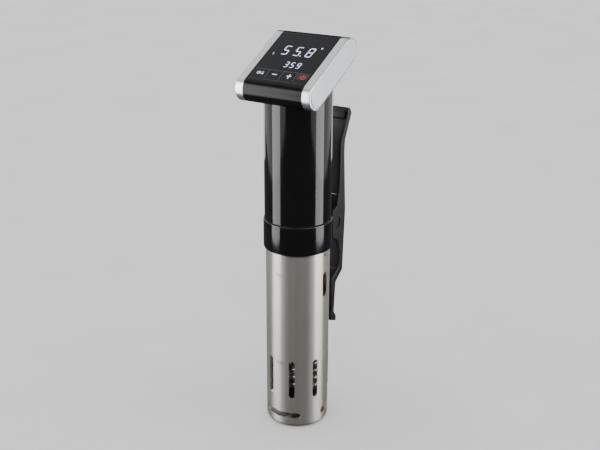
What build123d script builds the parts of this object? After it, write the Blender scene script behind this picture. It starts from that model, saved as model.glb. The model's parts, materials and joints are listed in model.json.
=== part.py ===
"""Sous vide circulator: a stick with a steel sleeve, a tilted display head and a sprung rim clamp.

Millimetres. The origin is the centre of the sleeve's flat base, +Z points up the stick,
the display faces the front, -Y, and the rim clamp is at the rear, +Y.
Angles around the stick are counted from the front, positive towards +X.
"""
from math import cos, radians, sin
import os

from build123d import *

os.makedirs("parts", exist_ok=True)

# Steel sleeve
SLEEVE_R = 30.0
SLEEVE_WALL = 0.8
SLEEVE_TOP = 189.5
SLEEVE_EDGE_R = 4.0
INLET_ANGLES = [22.5 + 45 * i for i in range(8)]
INLET_LOW, INLET_HIGH, INLET_WIDTH = 31.2, 71.2, 5.6
OUTLET_ANGLES = (0, 120, 240)
OUTLET_Z, OUTLET_HEIGHT, OUTLET_HALF_ANGLE = 12.4, 6.0, 33
SIDE_SLOT_LOW, SIDE_SLOT_HIGH, SIDE_SLOT_WIDTH = 133.8, 158.3, 6.2
DETENT_Z, DETENT_HOLE_R = 175.8, 1.6
DRAIN_RING_R, DRAIN_HOLE_R = 16.0, 2.5
CUT_IN = 4.0  # how far inside the wall a cutter starts
CUT_DEPTH = 8.0

# Collar and upper housing
COLLAR_R, COLLAR_LOW, COLLAR_TOP = 32.0, 179.6, 207.2
SLIP_GAP = 0.3
FLANGE_TOP = 193.0
HOUSING_R, HOUSING_WALL, HOUSING_LOW = 30.9, 2.3, 208.0
SPIGOT_R, SPIGOT_BORE_R, SPIGOT_GAP = 29.3, 27.3, 0.05
HOUSING_BLANK = 150.0
BRACKET_SCREW_ANGLES, BRACKET_SCREW_Z = (166, 194), 200.0
GLAND_Z, GLAND_SEAT = 325.0, 27.0
GLAND_HOLE_R, GLAND_PASSAGE_R, GLAND_FLANGE_R, GLAND_CONE_R = 5.5, 3.6, 7.5, 6.2

# Head: a flat oval body tilted down to the front, between two metal end caps
HEAD_TILT = 28.9
NOSE_Y, NOSE_Z = -30.8, 329.5
HEAD_LENGTH = 63.3
HEAD_R = 11.6
HEAD_HALF_WIDTH = 30.2
CAP_WIDTH = 8.0
HEAD_WALL = 2.2
GLASS_LOW, GLASS_HIGH, GLASS_HALF_WIDTH = 0.6, 62.7, 29.4
GLASS_THICK, TAPE_THICK = 1.8, 0.4
GLASS_CENTRE = (GLASS_LOW + GLASS_HIGH) / 2
CAVITY_TOP = HEAD_R - GLASS_THICK - TAPE_THICK - 1.8
PLATE_THICK = 1.6
BOARD_V, BOARD_THICK = 2.2, 1.6
BOARD_WIDTH, BOARD_LENGTH, BOARD_CENTRE = 52.0, 58.0, 32.0
WINDOW_WIDTH, WINDOW_LENGTH, WINDOW_CORNER = 51.0, 54.0, 3.0
KEY_X, KEY_U, KEY_PITCH = 1.4, 8.3, 14.3
BOARD_TOP = BOARD_V + BOARD_THICK
HEAD_SCREWS = [(-25.6, 28.0), (25.6, 28.0)]
BOARD_SCREWS = [(-22.5, 17.2), (22.5, 17.2), (-22.5, 56.0), (22.5, 56.0)]
CAP_SCREWS = [(-6.9, 0), (HEAD_LENGTH + 6.9, 0)]
PILOT_R, CLEAR_R = 1.2, 1.7

# Rim clamp
PIVOT_Y, PIVOT_Z = 44.6, 190.9
PIN_R, PIN_PLAY, PIN_HALF_LENGTH = 2.5, 0.05, 15.6
LEVER_HALF_WIDTH, LEVER_SIDE, LEVER_WALL = 16.0, 2.6, 2.8
DIMPLE_R, DIMPLE_DEPTH = 6.0, 0.8
TONGUE_HALF_WIDTH, TONGUE_R = 6.0, 6.5
SPRING_WIRE_R, SPRING_COIL_R = 0.8, 4.3
SPRING_COIL_NEAR, SPRING_TURNS, SPRING_PITCH = 7.4, 2.842, 1.8
SPRING_BRIDGE_Y, SPRING_BRIDGE_Z = 55.0, 214.8
PAD_FRONT_Y, PAD_HALF_WIDTH = 30.5, 11.0
FOOT_FRONT_Y, PAD_LOW, PAD_HEIGHT = 36.6, 90.2, 6.0
LEVER_EDGE_R = 1.0

# Corners of the lever's side view as (Y, Z, rounding), down the back and up the front
BACK = [(68.8, 293.4, 2.5), (57.6, 270.0, 14), (56.8, 258.0, 60), (60.6, 199.0, 80),
        (57.2, 137.6, 4), (44.6, 128.2, 4)]
FOOT = [(42.3, 97.5, 1.5), (46.6, 91.2, 1.5), (46.4, 85.6, 1.2), (FOOT_FRONT_Y, 89.6, 0.8),
        (FOOT_FRONT_Y, 96.6, 1.0)]
FRONT = [(38.0, 100.5, 3), (36.4, 133.0, 3), (51.2, 143.6, 4), (51.2, 158.0, 4), (47.6, 170.5, 3),
         (38.0, 176.4, 3), (36.6, 204.0, 2), (44.6, 206.8, 3), (48.6, 224.0, 20), (49.2, 250.0, 40),
         (49.4, 267.5, 12), (57.4, 284.0, 3), (61.4, 292.5, 3)]
TOP = [(61.0, 300.1, 1.0), (66.0, 298.8, 3.0)]
CAVITY_HIGH, CAVITY_LOW, CAVITY_FRONT, CAVITY_TOP_BACK = 290.0, 100.5, 25.0, 63.4
CAVITY_BACK = [(y - LEVER_WALL, z, r) for y, z, r in BACK[1:]]
CAVITY_BOTTOM_BACK = 39.7
# A rim stands round the finger plate at the lever's top, with a groove between them
RIM_THICK, RIM_GROOVE, RIM_DEPTH = 1.4, 2.4, 3.6
RIM_SLOPE = (0, -0.967, 0.2555)

# Power board and the blocks on it
POWER_BOARD_Y, POWER_BOARD_Z = 6.8, 292.0
POWER_BOARD_WIDTH, POWER_BOARD_HEIGHT = 50.0, 56.0
RAIL_X, RAIL_WIDTH, RAIL_THICK, RAIL_PITCH = 25.2, 5.6, 1.8, 3.6
RAIL_LOW, RAIL_HEIGHT = 266.0, 46.0
HEATSINK_X, HEATSINK_Z, HEATSINK_SIZE = 10.0, 303.0, 22.0

# Pump and heater
SHAFT_R, SHAFT_PLAY = 2.0, 0.05
SHAFT_LOW, SHAFT_HIGH = 8.0, 204.5
TUBE_R, TUBE_BORE_R, TUBE_LOW = 5.0, 4.2, 36.0
CARRIER_R, CARRIER_LOW = 28.9, 186.0
PLUG_R, PLUG_TOP = 27.0, 199.0
PILLAR_RING_R, PILLAR_R, PILLAR_START = 21.0, 3.2, 30
MOUNT_TOP = 211.0
MOTOR_R, MOTOR_TOP, MOTOR_WALL, MOTOR_END = 18.0, 262.0, 1.6, 2.5
MOTOR_SCREW_PITCH = 25.0
ROTOR_R, ROTOR_LOW, ROTOR_HEIGHT, ROTOR_POLES = 14.0, 218.0, 30.0, 5
IMPELLER_R, IMPELLER_LOW, IMPELLER_TOP = 20.0, 12.5, 24.0
HEATER_ROD_R, HEATER_COIL_R, HEATER_PITCH, HEATER_TURNS = 3.0, 18.5, 8.0, 3.25
HEATER_LOW = 34.0
HEATER_LEG_R = 11.8
LEAD_TOP = 201.0
PROBE_RING_R, PROBE_R = 23.7, 1.5
THERMOMETER_ANGLE, LEVEL_ANGLE = 205, 245
THERMOMETER_LOW, LEVEL_LOW = 44.0, 66.0
CARRIER_SKIRT_LOW, CARRIER_PLATE = 170.0, 4.0
GUIDE_R, GUIDE_DEPTH, SEAL_R = 6.6, 8.0, 4.8
STUD_R = 2.4


def direction(angle):
    """Unit vector that points outwards at an angle from the front."""
    return Vector(sin(radians(angle)), -cos(radians(angle)), 0)


def facing(angle, distance, height):
    """Plane that faces outwards at an angle, with its local Y pointing up."""
    out = direction(angle)
    across = Vector(cos(radians(angle)), sin(radians(angle)), 0)
    return Plane(origin=out * distance + Vector(0, 0, height), x_dir=across, z_dir=out)


def head_side(x):
    """Plane across the head at a given X: local X runs up the slope, local Y out of the top."""
    slope = (0, cos(radians(HEAD_TILT)), sin(radians(HEAD_TILT)))
    return Plane(origin=(x, NOSE_Y, NOSE_Z), x_dir=slope, z_dir=(1, 0, 0))


def head_top(height):
    """Plane parallel to the head's flat top: local X is +X, local Y runs up the slope."""
    slope = Vector(0, cos(radians(HEAD_TILT)), sin(radians(HEAD_TILT)))
    normal = Vector(0, -sin(radians(HEAD_TILT)), cos(radians(HEAD_TILT)))
    return Plane(origin=Vector(0, NOSE_Y, NOSE_Z) + normal * height, x_dir=(1, 0, 0), z_dir=normal)


# ---------------------------------------------------------------- sleeve
with BuildPart() as sleeve:
    with BuildSketch(Plane.XY):
        Circle(SLEEVE_R)
    extrude(amount=SLEEVE_TOP)
    fillet(sleeve.edges().group_by(Axis.Z)[0], SLEEVE_EDGE_R)
    offset(amount=-SLEEVE_WALL, openings=sleeve.faces().sort_by(Axis.Z)[-1])
    for angle in INLET_ANGLES:
        with BuildSketch(facing(angle, SLEEVE_R - CUT_IN, (INLET_LOW + INLET_HIGH) / 2)):
            SlotOverall(INLET_HIGH - INLET_LOW, INLET_WIDTH, rotation=90)
        extrude(amount=CUT_DEPTH, mode=Mode.SUBTRACT)
    for angle in (-90, 90):
        with BuildSketch(facing(angle, SLEEVE_R - CUT_IN, (SIDE_SLOT_LOW + SIDE_SLOT_HIGH) / 2)):
            SlotOverall(SIDE_SLOT_HIGH - SIDE_SLOT_LOW, SIDE_SLOT_WIDTH, rotation=90)
        extrude(amount=CUT_DEPTH, mode=Mode.SUBTRACT)
        with BuildSketch(facing(angle, SLEEVE_R - CUT_IN, DETENT_Z)):
            Circle(DETENT_HOLE_R)
        extrude(amount=CUT_DEPTH, mode=Mode.SUBTRACT)
    for angle in OUTLET_ANGLES:
        with BuildSketch(facing(angle - OUTLET_HALF_ANGLE - 90, 0, 0)):
            with Locations((SLEEVE_R, OUTLET_Z)):
                Rectangle(CUT_DEPTH, OUTLET_HEIGHT)
        revolve(axis=Axis.Z, revolution_arc=2 * OUTLET_HALF_ANGLE, mode=Mode.SUBTRACT)
        for side in (-1, 1):
            with BuildSketch(facing(angle + side * OUTLET_HALF_ANGLE, SLEEVE_R - CUT_IN, OUTLET_Z)):
                Circle(OUTLET_HEIGHT / 2)
            extrude(amount=CUT_DEPTH, mode=Mode.SUBTRACT)
    with BuildSketch(Plane.XY):
        with PolarLocations(DRAIN_RING_R, 6):
            Circle(DRAIN_HOLE_R)
    extrude(amount=SLEEVE_WALL, mode=Mode.SUBTRACT)
sleeve.part.label = "sleeve"
export_step(sleeve.part, "parts/sleeve.step")

# ---------------------------------------------------------------- collar
with BuildPart() as collar:
    with BuildSketch(Plane.XY.offset(COLLAR_LOW)):
        Circle(COLLAR_R)
        Circle(SLEEVE_R + SLIP_GAP, mode=Mode.SUBTRACT)
    extrude(amount=FLANGE_TOP - COLLAR_LOW)
    with BuildSketch(Plane.XY.offset(FLANGE_TOP)):
        Circle(COLLAR_R)
        Circle(SPIGOT_R + SPIGOT_GAP, mode=Mode.SUBTRACT)
    extrude(amount=COLLAR_TOP - FLANGE_TOP)
    outer = collar.edges().filter_by(GeomType.CIRCLE).filter_by(lambda e: e.radius > COLLAR_R - 0.01)
    fillet(outer.sort_by(Axis.Z)[0], 1.0)
    fillet(outer.sort_by(Axis.Z)[-1], 0.8)
    for angle in BRACKET_SCREW_ANGLES:
        with Locations(facing(angle, SPIGOT_R - 1, BRACKET_SCREW_Z)):
            Cylinder(1.5, 5, align=(Align.CENTER, Align.CENTER, Align.MIN), mode=Mode.SUBTRACT)
            Cylinder(2.5, 2.2, align=(Align.CENTER, Align.CENTER, Align.MIN), mode=Mode.SUBTRACT)
collar.part.label = "collar"
export_step(collar.part, "parts/collar.step")

# Sealing ring in the seam between collar and housing
with BuildPart() as seam_ring:
    with BuildSketch(Plane.XY.offset(COLLAR_TOP)):
        Circle(HOUSING_R - 0.6)
        Circle(SPIGOT_R, mode=Mode.SUBTRACT)
    extrude(amount=HOUSING_LOW - COLLAR_TOP)
seam_ring.part.label = "seam_ring"
export_step(seam_ring.part, "parts/seam_ring.step")

# ---------------------------------------------------------------- upper housing
with BuildPart() as upper_housing:
    with BuildSketch(Plane.XY.offset(HOUSING_LOW)):
        Circle(HOUSING_R)
    extrude(amount=HOUSING_BLANK)
    with BuildSketch(Plane.XY.offset(HOUSING_LOW)):
        Circle(HOUSING_R - HOUSING_WALL)
    extrude(amount=HOUSING_BLANK, mode=Mode.SUBTRACT)
    with BuildSketch(Plane.XY.offset(FLANGE_TOP)):
        Circle(SPIGOT_R)
        Circle(SPIGOT_BORE_R, mode=Mode.SUBTRACT)
    extrude(amount=HOUSING_LOW - FLANGE_TOP)
    # Guide rails for the power board
    with BuildSketch(Plane.XY.offset(RAIL_LOW)):
        with Locations((0, POWER_BOARD_Y)):
            with GridLocations(2 * RAIL_X, RAIL_PITCH, 2, 2):
                Rectangle(RAIL_WIDTH, RAIL_THICK)
    extrude(amount=RAIL_HEIGHT)
    # Flat seat for the cord gland, with its hole
    with BuildSketch(facing(180, GLAND_SEAT, GLAND_Z)):
        Circle(8.5)
    extrude(amount=5.0)
    with BuildSketch(facing(180, HOUSING_R - 5, GLAND_Z)):
        Circle(GLAND_HOLE_R)
    extrude(amount=10, mode=Mode.SUBTRACT)
    # Bosses for the screws that hold the head
    with BuildSketch(head_top(-HEAD_R - 12)):
        with Locations(*HEAD_SCREWS):
            Circle(3.4)
    extrude(amount=14)
    # The tilted head rests on the cut top
    with BuildSketch(head_side(-45)):
        Circle(HEAD_R)
        with Locations((0, -HEAD_R)):
            Rectangle(120, 90, align=(Align.MIN, Align.MIN))
        Rectangle(60, 90, align=(Align.MAX, Align.MIN))
    extrude(amount=90, mode=Mode.SUBTRACT)
    with BuildSketch(Plane.XY.offset(HOUSING_LOW + 60)):
        Circle(60)
        Circle(HOUSING_R, mode=Mode.SUBTRACT)
        with Locations((0, HOUSING_R)):
            Rectangle(20, 14, mode=Mode.SUBTRACT)
    extrude(amount=100, mode=Mode.SUBTRACT)
    with BuildSketch(head_top(-HEAD_R - 8)):
        with Locations(*HEAD_SCREWS):
            Circle(PILOT_R)
    extrude(amount=9, mode=Mode.SUBTRACT)
upper_housing.part.label = "upper_housing"
export_step(upper_housing.part, "parts/upper_housing.step")

# ---------------------------------------------------------------- cord gland
with BuildPart() as cord_gland:
    with BuildSketch(facing(180, GLAND_SEAT - 4, GLAND_Z)):
        Circle(GLAND_HOLE_R)
    extrude(amount=9.0)
    with BuildSketch(facing(180, GLAND_SEAT + 5, GLAND_Z)):
        Circle(GLAND_FLANGE_R)
    extrude(amount=2.0)
    with BuildSketch(facing(180, GLAND_SEAT + 7, GLAND_Z)):
        Circle(GLAND_CONE_R)
    extrude(amount=6.0, taper=8)
    with BuildSketch(facing(180, GLAND_SEAT - 4, GLAND_Z)):
        Circle(GLAND_PASSAGE_R)
    extrude(amount=17.0, mode=Mode.SUBTRACT)
cord_gland.part.label = "cord_gland"
export_step(cord_gland.part, "parts/cord_gland.step")

with BuildPart() as gland_nut:
    with BuildSketch(facing(180, GLAND_SEAT - 3.2, GLAND_Z)):
        RegularPolygon(8.0, 6)
        Circle(GLAND_HOLE_R, mode=Mode.SUBTRACT)
    extrude(amount=3.2)
gland_nut.part.label = "gland_nut"
export_step(gland_nut.part, "parts/gland_nut.step")

# ---------------------------------------------------------------- head
with BuildPart() as head_shell:
    with BuildSketch(head_side(-HEAD_HALF_WIDTH)):
        with Locations((HEAD_LENGTH / 2, 0)):
            SlotOverall(HEAD_LENGTH + 2 * HEAD_R, 2 * HEAD_R)
    extrude(amount=2 * HEAD_HALF_WIDTH)
    with BuildSketch(head_side(-HEAD_HALF_WIDTH)):
        with Locations((HEAD_LENGTH / 2, 0)):
            SlotOverall(HEAD_LENGTH + 2 * (HEAD_R - HEAD_WALL), 2 * (HEAD_R - HEAD_WALL))
        with Locations((HEAD_LENGTH / 2, CAVITY_TOP)):
            Rectangle(120, 20, align=(Align.CENTER, Align.MIN), mode=Mode.SUBTRACT)
    extrude(amount=2 * HEAD_HALF_WIDTH, mode=Mode.SUBTRACT)
    # Bosses for the end caps' screws at both ends, and for the control board
    for x in (-HEAD_HALF_WIDTH, HEAD_HALF_WIDTH - 8):
        with BuildSketch(head_side(x)):
            with Locations(*CAP_SCREWS):
                Circle(3.0)
                Circle(1.3, mode=Mode.SUBTRACT)
        extrude(amount=8)
    with BuildSketch(head_top(-HEAD_R + 1)):
        with Locations(*BOARD_SCREWS):
            Circle(2.6)
    extrude(amount=HEAD_R - 1 + BOARD_V)
    with BuildSketch(head_top(BOARD_V - 5)):
        with Locations(*BOARD_SCREWS):
            Circle(PILOT_R)
    extrude(amount=6, mode=Mode.SUBTRACT)
    # Seat and window for the glass
    with BuildSketch(head_top(HEAD_R - GLASS_THICK - TAPE_THICK)):
        with Locations((0, GLASS_CENTRE)):
            RectangleRounded(2 * GLASS_HALF_WIDTH + 0.2, GLASS_HIGH - GLASS_LOW + 0.2, 1.6)
    extrude(amount=5, mode=Mode.SUBTRACT)
    with BuildSketch(head_top(CAVITY_TOP - 1)):
        with Locations((0, GLASS_CENTRE)):
            RectangleRounded(WINDOW_WIDTH, WINDOW_LENGTH, WINDOW_CORNER)
    extrude(amount=8, mode=Mode.SUBTRACT)
    # Cable opening over the housing, and the screw holes down into it
    with BuildSketch(Plane.XY.offset(300)):
        Circle(20)
    extrude(amount=47.5, mode=Mode.SUBTRACT)
    with BuildSketch(head_top(-HEAD_R - 1)):
        with Locations(*HEAD_SCREWS):
            Circle(CLEAR_R)
    extrude(amount=HEAD_WALL + 2, mode=Mode.SUBTRACT)
head_shell.part.label = "head_shell"
export_step(head_shell.part, "parts/head_shell.step")

# Silver end caps, with their screws and the satin plates that hide them
for side, sign in (("left", -1), ("right", 1)):
    inner_x = sign * HEAD_HALF_WIDTH
    with BuildPart() as end_cap:
        with BuildSketch(head_side(inner_x)):
            with Locations((HEAD_LENGTH / 2, 0)):
                SlotOverall(HEAD_LENGTH + 2 * HEAD_R, 2 * HEAD_R)
        extrude(amount=sign * CAP_WIDTH)
        rim = end_cap.faces().sort_by(Axis.X)[0 if sign < 0 else -1]
        fillet(rim.edges(), 1.0)
        with BuildSketch(head_side(inner_x + sign * 2.0)):
            with Locations((HEAD_LENGTH / 2, 0)):
                SlotOverall(HEAD_LENGTH + 18.6, 18.6)
        extrude(amount=sign * CAP_WIDTH, mode=Mode.SUBTRACT)
        with BuildSketch(head_side(inner_x + sign * (CAP_WIDTH - PLATE_THICK))):
            with Locations((HEAD_LENGTH / 2 + 0.75, 0)):
                SlotOverall(HEAD_LENGTH + 20.0, 21.4)
        extrude(amount=sign * CAP_WIDTH, mode=Mode.SUBTRACT)
        with BuildSketch(head_side(inner_x - sign)):
            with Locations(*CAP_SCREWS):
                Circle(CLEAR_R)
        extrude(amount=sign * 4, mode=Mode.SUBTRACT)
    end_cap.part.label = f"{side}_end_cap"
    export_step(end_cap.part, f"parts/{side}_end_cap.step")

    with BuildPart() as side_plate:
        with BuildSketch(head_side(inner_x + sign * (CAP_WIDTH - PLATE_THICK))):
            with Locations((HEAD_LENGTH / 2 + 1.0, 0)):
                SlotOverall(HEAD_LENGTH + 19.0, 20.9)
        extrude(amount=sign * PLATE_THICK)
        face = side_plate.faces().sort_by(Axis.X)[0 if sign < 0 else -1]
        chamfer(face.edges(), 0.25)
    side_plate.part.label = f"{side}_side_plate"
    export_step(side_plate.part, f"parts/{side}_side_plate.step")

with BuildPart() as cap_screws:
    for sign in (-1, 1):
        with BuildSketch(head_side(sign * (HEAD_HALF_WIDTH - 6))):
            with Locations(*CAP_SCREWS):
                Circle(1.3)
        extrude(amount=sign * 8)
        with BuildSketch(head_side(sign * (HEAD_HALF_WIDTH + 2))):
            with Locations(*CAP_SCREWS):
                Circle(2.3)
                RegularPolygon(1.1, 4, mode=Mode.SUBTRACT)
        extrude(amount=sign * 1.8)
cap_screws.part.label = "cap_screws"
export_step(cap_screws.part, "parts/cap_screws.step")

with BuildPart() as glass_tape:
    with BuildSketch(head_top(HEAD_R - GLASS_THICK - TAPE_THICK)):
        with Locations((0, GLASS_CENTRE)):
            RectangleRounded(2 * GLASS_HALF_WIDTH, GLASS_HIGH - GLASS_LOW, 1.5)
            RectangleRounded(WINDOW_WIDTH, WINDOW_LENGTH, WINDOW_CORNER, mode=Mode.SUBTRACT)
    extrude(amount=TAPE_THICK)
glass_tape.part.label = "glass_tape"
export_step(glass_tape.part, "parts/glass_tape.step")

with BuildPart() as display_glass:
    with BuildSketch(head_top(HEAD_R - GLASS_THICK)):
        with Locations((0, GLASS_CENTRE)):
            RectangleRounded(2 * GLASS_HALF_WIDTH, GLASS_HIGH - GLASS_LOW, 1.5)
    extrude(amount=GLASS_THICK)
    top_face = display_glass.faces().sort_by(Axis.Z)[-1]
    chamfer(top_face.edges(), 0.25)
display_glass.part.label = "display_glass"
export_step(display_glass.part, "parts/display_glass.step")

with BuildPart() as control_board:
    with BuildSketch(head_top(BOARD_V)):
        with Locations((0, BOARD_CENTRE)):
            RectangleRounded(BOARD_WIDTH, BOARD_LENGTH, 2)
        with Locations(*BOARD_SCREWS):
            Circle(1.3, mode=Mode.SUBTRACT)
    extrude(amount=BOARD_THICK)
control_board.part.label = "control_board"
export_step(control_board.part, "parts/control_board.step")

with BuildPart() as board_screws:
    with BuildSketch(head_top(BOARD_V - 5)):
        with Locations(*BOARD_SCREWS):
            Circle(PILOT_R)
    extrude(amount=5 + BOARD_THICK)
    with BuildSketch(head_top(BOARD_TOP)):
        with Locations(*BOARD_SCREWS):
            Circle(2.2)
    extrude(amount=1.4)
board_screws.part.label = "board_screws"
export_step(board_screws.part, "parts/board_screws.step")

with BuildPart() as display_module:
    with BuildSketch(head_top(BOARD_TOP)):
        with Locations((0, 38)):
            RectangleRounded(42, 34, 1)
    extrude(amount=5.2)
display_module.part.label = "display_module"
export_step(display_module.part, "parts/display_module.step")

with BuildPart() as key_sensors:
    with BuildSketch(head_top(BOARD_TOP)):
        with Locations((KEY_X, KEY_U)):
            with GridLocations(KEY_PITCH, 1, 4, 1):
                Circle(2.6)
                Circle(1.6, mode=Mode.SUBTRACT)
    extrude(amount=HEAD_R - GLASS_THICK - BOARD_TOP)
key_sensors.part.label = "key_sensors"
export_step(key_sensors.part, "parts/key_sensors.step")

with BuildPart() as buzzer:
    with BuildSketch(head_top(BOARD_V - 4.5)):
        with Locations((0, 9)):
            Circle(5.0)
            Circle(0.8, mode=Mode.SUBTRACT)
    extrude(amount=4.5)
buzzer.part.label = "buzzer"
export_step(buzzer.part, "parts/buzzer.step")

with BuildPart() as head_screws:
    with BuildSketch(head_top(-HEAD_R - 6)):
        with Locations(*HEAD_SCREWS):
            Circle(PILOT_R)
    extrude(amount=6 + HEAD_WALL)
    with BuildSketch(head_top(-HEAD_R + HEAD_WALL)):
        with Locations(*HEAD_SCREWS):
            Circle(2.6)
    extrude(amount=1.8)
head_screws.part.label = "head_screws"
export_step(head_screws.part, "parts/head_screws.step")

# ---------------------------------------------------------------- power electronics
with BuildPart() as power_board:
    with Locations((0, POWER_BOARD_Y, POWER_BOARD_Z)):
        Box(POWER_BOARD_WIDTH, BOARD_THICK, POWER_BOARD_HEIGHT)
power_board.part.label = "power_board"
export_step(power_board.part, "parts/power_board.step")

with BuildPart() as transformer:
    with Locations((-10, -1.5, 279)):
        Box(16, 12, 16)
        Box(9, 15, 11)
transformer.part.label = "transformer"
export_step(transformer.part, "parts/transformer.step")

with BuildPart() as relay:
    with Locations((10.5, -1.0, 278.5)):
        Box(15, 14, 15)
    fillet(relay.edges().filter_by(Axis.Y), 0.8)
relay.part.label = "relay"
export_step(relay.part, "parts/relay.step")

with BuildPart() as capacitor:
    with Locations((-12, 0.8, 293)):
        Cylinder(5.0, 20, align=(Align.CENTER, Align.CENTER, Align.MIN))
    fillet(capacitor.edges().sort_by(Axis.Z)[-1], 0.8)
capacitor.part.label = "capacitor"
export_step(capacitor.part, "parts/capacitor.step")

with BuildPart() as triac_heatsink:
    with Locations((HEATSINK_X, 4.5, HEATSINK_Z)):
        Box(HEATSINK_SIZE, 3, HEATSINK_SIZE)
    with Locations((HEATSINK_X, 0, HEATSINK_Z)):
        with GridLocations(4, 1, 6, 1):
            Box(1.2, 8, HEATSINK_SIZE)
triac_heatsink.part.label = "triac_heatsink"
export_step(triac_heatsink.part, "parts/triac_heatsink.step")

# Flat cable from the power board up to the control board
with BuildPart() as ribbon_cable:
    with Locations((0, 8.1, 318)):
        Box(12, 0.9, 35.0, align=(Align.CENTER, Align.CENTER, Align.MIN))
ribbon_cable.part.label = "ribbon_cable"
export_step(ribbon_cable.part, "parts/ribbon_cable.step")

# ---------------------------------------------------------------- motor and pump shaft
with BuildPart() as motor_mount:
    with BuildSketch(Plane.XY.offset(HOUSING_LOW)):
        Circle(HOUSING_R - HOUSING_WALL - 0.1)
        Circle(6.0, mode=Mode.SUBTRACT)
        with PolarLocations(PILLAR_RING_R, 3, PILLAR_START):
            Circle(CLEAR_R, mode=Mode.SUBTRACT)
        with GridLocations(MOTOR_SCREW_PITCH, 1, 2, 1):
            Circle(1.6, mode=Mode.SUBTRACT)
        with PolarLocations(24, 2, 0):
            Circle(2.5, mode=Mode.SUBTRACT)
    extrude(amount=MOUNT_TOP - HOUSING_LOW)
motor_mount.part.label = "motor_mount"
export_step(motor_mount.part, "parts/motor_mount.step")

with BuildPart() as motor_can:
    with BuildSketch(Plane.XY.offset(MOUNT_TOP)):
        Circle(MOTOR_R)
    extrude(amount=MOTOR_TOP - MOUNT_TOP)
    fillet(motor_can.edges().group_by(Axis.Z)[-1], 1.5)
    with BuildSketch(Plane.XY.offset(MOUNT_TOP + MOTOR_END)):
        Circle(MOTOR_R - MOTOR_WALL)
    extrude(amount=MOTOR_TOP - MOUNT_TOP - 2 * MOTOR_END, mode=Mode.SUBTRACT)
    with BuildSketch(Plane.XY.offset(MOUNT_TOP - 2)):
        Circle(5.0)
    extrude(amount=2)
    with BuildSketch(Plane.XY.offset(MOUNT_TOP - 3)):
        Circle(SHAFT_R + SHAFT_PLAY)
    extrude(amount=MOTOR_TOP - MOUNT_TOP + 2, mode=Mode.SUBTRACT)
    with BuildSketch(Plane.XY.offset(MOUNT_TOP)):
        with GridLocations(MOTOR_SCREW_PITCH, 1, 2, 1):
            Circle(1.3)
    extrude(amount=MOTOR_END, mode=Mode.SUBTRACT)
motor_can.part.label = "motor_can"
export_step(motor_can.part, "parts/motor_can.step")

with BuildPart() as motor_screws:
    with BuildSketch(Plane.XY.offset(HOUSING_LOW)):
        with GridLocations(MOTOR_SCREW_PITCH, 1, 2, 1):
            Circle(1.25)
    extrude(amount=5.0)
    with BuildSketch(Plane.XY.offset(HOUSING_LOW - 1.6)):
        with GridLocations(MOTOR_SCREW_PITCH, 1, 2, 1):
            Circle(2.3)
    extrude(amount=1.6)
motor_screws.part.label = "motor_screws"
export_step(motor_screws.part, "parts/motor_screws.step")

with BuildPart() as motor_rotor:
    with BuildSketch(Plane.XY.offset(ROTOR_LOW)):
        Circle(ROTOR_R)
        with PolarLocations(ROTOR_R, ROTOR_POLES):
            Rectangle(6, 2.2, mode=Mode.SUBTRACT)
        Circle(SHAFT_R, mode=Mode.SUBTRACT)
    extrude(amount=ROTOR_HEIGHT)
    with BuildSketch(Plane.XY.offset(ROTOR_LOW + ROTOR_HEIGHT)):
        Circle(5.0)
        Circle(SHAFT_R, mode=Mode.SUBTRACT)
    extrude(amount=8)
motor_rotor.part.label = "motor_rotor"
export_step(motor_rotor.part, "parts/motor_rotor.step")

with BuildPart() as motor_shaft:
    with BuildSketch(Plane.XY.offset(SHAFT_HIGH)):
        Circle(SHAFT_R)
    extrude(amount=MOTOR_TOP - 2 - SHAFT_HIGH)
motor_shaft.part.label = "motor_shaft"
export_step(motor_shaft.part, "parts/motor_shaft.step")

with BuildPart() as shaft_coupling:
    with BuildSketch(Plane.XY.offset(SHAFT_HIGH - 4)):
        Circle(4.6)
        Circle(SHAFT_R, mode=Mode.SUBTRACT)
    extrude(amount=8)
    rims = shaft_coupling.edges().filter_by(GeomType.CIRCLE)
    chamfer(rims.filter_by(lambda e: e.radius > SHAFT_R + 1), 0.5)
shaft_coupling.part.label = "shaft_coupling"
export_step(shaft_coupling.part, "parts/shaft_coupling.step")

with BuildPart() as drive_shaft:
    with BuildSketch(Plane.XY.offset(SHAFT_LOW)):
        Circle(SHAFT_R)
    extrude(amount=SHAFT_HIGH - SHAFT_LOW)
    chamfer(drive_shaft.edges().group_by(Axis.Z)[0], 0.4)
drive_shaft.part.label = "drive_shaft"
export_step(drive_shaft.part, "parts/drive_shaft.step")

with BuildPart() as impeller:
    with BuildSketch(Plane.XY.offset(IMPELLER_TOP - 1.2)):
        Circle(IMPELLER_R)
        Circle(SHAFT_R, mode=Mode.SUBTRACT)
    extrude(amount=1.2)
    with BuildSketch(Plane.XY.offset(IMPELLER_LOW)):
        Circle(5.2)
        Circle(SHAFT_R, mode=Mode.SUBTRACT)
    extrude(amount=17)
    with BuildSketch(Plane.XY.offset(IMPELLER_LOW)):
        with PolarLocations(11.2, 6):
            Rectangle(14.0, 1.6, rotation=24)
    extrude(amount=IMPELLER_TOP - IMPELLER_LOW - 1)
impeller.part.label = "impeller"
export_step(impeller.part, "parts/impeller.step")

with BuildPart() as impeller_nut:
    with BuildSketch(Plane.XY.offset(IMPELLER_LOW - 3.2)):
        RegularPolygon(4.0, 6)
        Circle(SHAFT_R, mode=Mode.SUBTRACT)
    extrude(amount=3.2)
impeller_nut.part.label = "impeller_nut"
export_step(impeller_nut.part, "parts/impeller_nut.step")

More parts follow.
